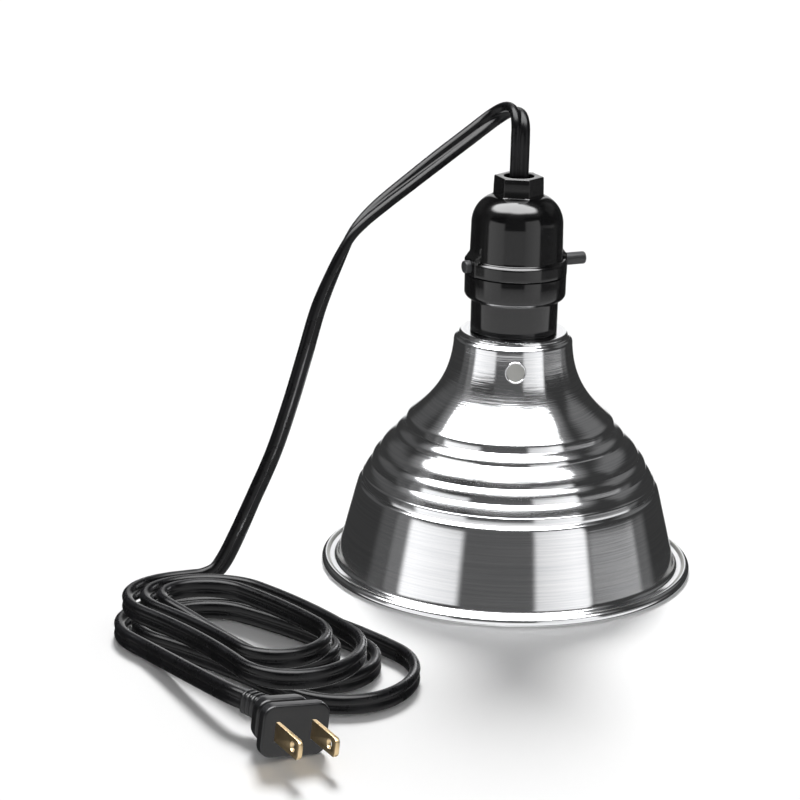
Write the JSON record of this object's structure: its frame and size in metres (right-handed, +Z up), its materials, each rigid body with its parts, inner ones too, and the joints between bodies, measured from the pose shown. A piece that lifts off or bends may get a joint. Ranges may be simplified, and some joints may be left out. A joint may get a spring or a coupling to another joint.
{
  "type": "heat lamp fixture",
  "caption": "Small bell-shaped heat lamp fixture: a stepped spun aluminium reflector under a push-through lampholder, with a looped flat twin cord and a flat-blade plug.",
  "frame": {"origin": "centre of the reflector's rim, on the surface that the rim stands on", "axes": "+Z up along the lampholder's axis, -Y towards the camera, +X to the right; the switch rod lies 27 degrees from +X"},
  "size_m": [0.2059, 0.2799, 0.1759],
  "materials": {
    "spun_aluminium": "polished, with fine turning lines",
    "phenolic": "glossy black moulding",
    "rod_plastic": "matt dark grey",
    "fibre": "matt dark brown",
    "brass": "rolled sheet",
    "steel": "zinc plated",
    "cord_vinyl": "satin black",
    "plug_vinyl": "fine matt black",
    "white_vinyl": "satin white"
  },
  "bodies": {
    "lamp": {"reflector": "spun_aluminium", "retaining_ring": "phenolic", "socket_body": "phenolic", "socket_cap": "phenolic", "screw_shell": "brass", "switch_base": "fibre", "contact_feed_strip": "brass", "contact_lamp_strip": "brass", "terminal_plate_neutral": "brass", "terminal_screw_hot": "brass", "terminal_screw_neutral": "steel", "assembly_screw_front": "steel", "assembly_screw_back": "steel", "centre_contact": "brass", "contact_rivet": "brass", "lead_hot": "cord_vinyl", "lead_neutral": "white_vinyl", "cord_drop": "cord_vinyl", "cord_hank": "cord_vinyl", "cord_tail": "cord_vinyl", "plug_body": "plug_vinyl", "plug_blade_left": "brass", "plug_blade_right": "brass"},
    "switch": {"switch_rod": "rod_plastic", "switch_carriage": "fibre", "contact_bridge": "brass"}
  },
  "joints": [
    {"name": "switch_slide", "type": "slide", "parent": "lamp", "child": "switch", "axis": [0.891, 0.454, 0], "range_m": [-0.007, 0]}
  ]
}
